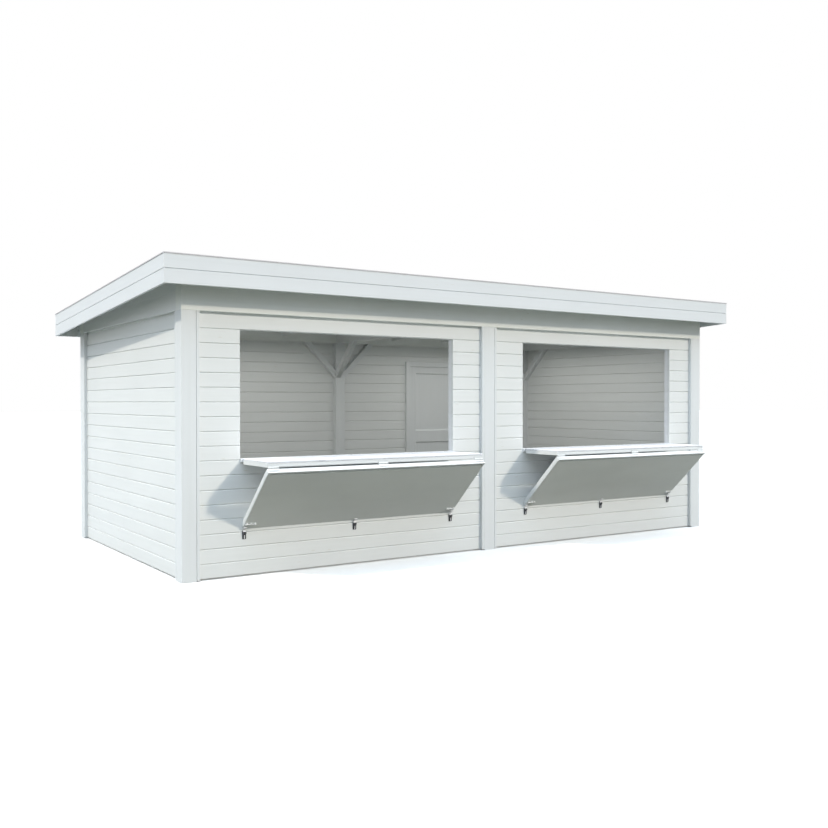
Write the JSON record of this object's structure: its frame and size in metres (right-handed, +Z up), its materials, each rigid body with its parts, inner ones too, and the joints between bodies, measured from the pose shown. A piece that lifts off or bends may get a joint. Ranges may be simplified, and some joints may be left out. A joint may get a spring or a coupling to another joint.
{
  "type": "wooden kiosk",
  "caption": "White wooden sales kiosk with boarded walls, fold-down serving hatches that form counters, a back door and a low lean-to roof.",
  "frame": {"origin": "on the ground, under the middle of the whole object with its hatches open", "axes": "+X along the serving front, +Y from the serving front to the back, +Z up"},
  "size_m": [6.408, 3.6772, 2.5015],
  "materials": {
    "frame_paint": "satin white paint",
    "board_paint": "satin white paint on boards",
    "leaf_paint": "satin white paint",
    "fascia_paint": "satin white paint",
    "roof_timber": "satin white paint",
    "roof_felt": "matt roofing sheet",
    "trim_metal": "pale coated metal",
    "steel": "zinc plated",
    "bolt_white": "white painted"
  },
  "bodies": {
    "kiosk": {"corner_posts": "frame_paint", "middle_posts": "frame_paint", "beam_front": "frame_paint", "beams_across": "frame_paint", "beam_back": "frame_paint", "riser_front": "frame_paint", "risers_across": "frame_paint", "braces_along": "frame_paint", "braces_across": "frame_paint", "front_wall_left": "board_paint", "front_wall_right": "board_paint", "side_wall_left": "board_paint", "side_wall_right": "board_paint", "back_wall_left": "board_paint", "back_wall_hinge_side": "board_paint", "back_wall_handle_side": "board_paint", "back_wall_over_door": "board_paint", "battens": "frame_paint", "serving_lining_left": "frame_paint", "serving_lining_right": "frame_paint", "sill_hinges": "steel", "latches": "steel", "door_frame": "frame_paint", "door_hinges_frame": "steel", "rafters": "roof_timber", "lookouts": "roof_timber", "roof_deck": "roof_timber", "roof_skin": "roof_felt", "fascia_front": "fascia_paint", "fascia_back": "fascia_paint", "fascia_left": "fascia_paint", "fascia_right": "fascia_paint", "roof_trim": "trim_metal"},
    "door": {"door_leaf": "board_paint", "door_hinges_leaf": "steel", "door_handles": "steel"},
    "left_counter": {"counter_left": "leaf_paint", "counter_hinges_left": "steel", "fold_hinges_left": "steel"},
    "left_prop": {"prop_left": "leaf_paint", "prop_hinges_left": "steel", "keeps_left": "steel", "bolts_left": "bolt_white"},
    "right_counter": {"counter_right": "leaf_paint", "counter_hinges_right": "steel", "fold_hinges_right": "steel"},
    "right_prop": {"prop_right": "leaf_paint", "prop_hinges_right": "steel", "keeps_right": "steel", "bolts_right": "bolt_white"}
  },
  "joints": [
    {"name": "door_swing", "type": "hinge", "parent": "kiosk", "child": "door", "pos_m": [1.0175, 1.61261, 0.94], "axis": [0, 0, 1], "range_deg": [0, 110]},
    {"name": "left_counter_fold", "type": "hinge", "parent": "kiosk", "child": "left_counter", "pos_m": [-1.47, -1.35939, 0.942], "axis": [-1, 0, 0], "range_deg": [0, 90]},
    {"name": "left_prop_fold", "type": "hinge", "parent": "left_counter", "child": "left_prop", "pos_m": [-1.47, -1.81339, 0.897], "axis": [-1, 0, 0], "range_deg": [0, 135.9]},
    {"name": "right_counter_fold", "type": "hinge", "parent": "kiosk", "child": "right_counter", "pos_m": [1.47, -1.35939, 0.942], "axis": [-1, 0, 0], "range_deg": [0, 90]},
    {"name": "right_prop_fold", "type": "hinge", "parent": "right_counter", "child": "right_prop", "pos_m": [1.47, -1.81339, 0.897], "axis": [-1, 0, 0], "range_deg": [0, 135.9]}
  ]
}
